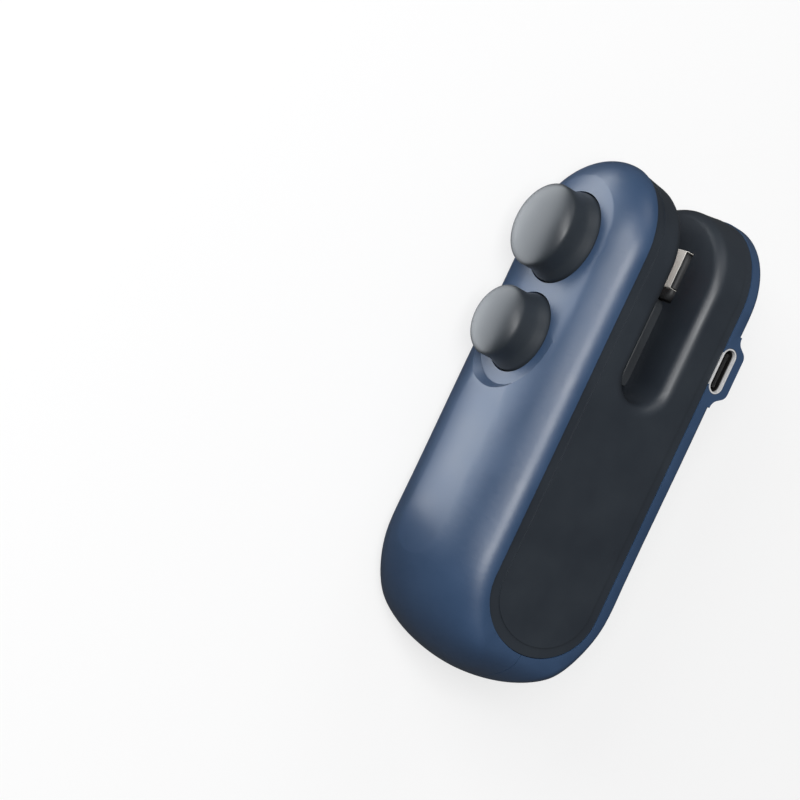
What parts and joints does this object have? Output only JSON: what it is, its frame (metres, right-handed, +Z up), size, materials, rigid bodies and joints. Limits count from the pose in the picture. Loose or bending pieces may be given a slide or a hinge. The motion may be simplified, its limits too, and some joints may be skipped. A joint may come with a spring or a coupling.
{
  "type": "handheld bag heat sealer",
  "caption": "Palm-sized rechargeable bag sealer: two push knobs on a crowned front, a slot between two arms with a taped heater strip and an anvil, and a charging port.",
  "frame": {"origin": "middle of the footprint, on the plane of the left cheek that the part lies on", "axes": "+X from the slot mouth at the tip to the rounded bottom end, +Y from the knobs to the back cover, +Z up through the right cheek and the charging port"},
  "size_m": [0.0972, 0.0452, 0.0332],
  "materials": {
    "blue_cover": "satin moulded ABS, fine grain",
    "dark_core": "satin moulded ABS, fine texture",
    "knob_grey": "soft-touch matt",
    "white_nylon": "natural nylon",
    "spring_steel": "bright drawn wire",
    "blade_steel": "ground steel",
    "screw_steel": "zinc-plated steel",
    "silicone": "heat-resistant silicone rubber",
    "switch_black": "moulded",
    "heater_block": "heat-resistant phenolic, matt",
    "heater_alloy": "nickel-chromium strip",
    "glass_tape": "woven coated glass cloth",
    "anvil_grey": "firm matt rubber",
    "board_green": "solder mask on glass epoxy",
    "chip_black": "moulded packages",
    "ferrite": "ferrite core",
    "port_metal": "bright plated steel",
    "port_black": "moulded",
    "contact_gold": "gold flash",
    "cell_wrap": "shrink sleeve",
    "nickel": "nickel strip",
    "lead_red": "insulated lead",
    "lead_black": "insulated lead",
    "lead_white": "insulated lead"
  },
  "bodies": {
    "housing": {"front_shell": "blue_cover", "back_shell": "blue_cover", "core_right": "dark_core", "core_left": "dark_core", "housing_screws": "screw_steel", "seal_spring": "spring_steel", "seal_guide": "white_nylon", "heat_switch": "switch_black", "cutter_spring": "spring_steel", "cutter_guide": "white_nylon", "guide_screws": "screw_steel", "board_screws": "screw_steel", "heating_element": "heater_alloy", "heater_base": "heater_block", "heater_tape": "glass_tape", "cutter_anvil": "anvil_grey", "charge_board": "board_green", "board_chips": "chip_black", "board_inductor": "ferrite", "usb_shell": "port_metal", "usb_tongue": "port_black", "usb_contacts": "contact_gold", "battery_cell": "cell_wrap", "battery_tabs": "nickel", "battery_cradle": "switch_black", "battery_lead_plus": "lead_red", "battery_lead_minus": "lead_black", "heater_leads": "lead_white", "switch_leads": "lead_white"},
    "seal_press": {"seal_knob": "knob_grey", "seal_stem": "white_nylon", "seal_jaw": "white_nylon", "jaw_pad": "silicone"},
    "cutter_press": {"cutter_knob": "knob_grey", "cutter_stem": "spring_steel", "blade_carrier": "white_nylon", "cutter_blade": "blade_steel"},
    "switch_plunger": {"switch_button": "white_nylon"}
  },
  "joints": [
    {"name": "seal_knob_press", "type": "slide", "parent": "housing", "child": "seal_press", "axis": [0, 1, 0], "range_m": [0, 0.0048], "stiffness_N_per_m": 500, "springref_m": -0.004, "deforming": ["seal_spring"]},
    {"name": "cutter_knob_press", "type": "slide", "parent": "housing", "child": "cutter_press", "axis": [0, 1, 0], "range_m": [0, 0.0052], "stiffness_N_per_m": 400, "springref_m": -0.004, "deforming": ["cutter_spring"]},
    {"name": "heat_switch_travel", "type": "slide", "parent": "housing", "child": "switch_plunger", "axis": [0, 1, 0], "range_m": [0, 0.0004], "stiffness_N_per_m": 200, "springref_m": -0.001}
  ]
}
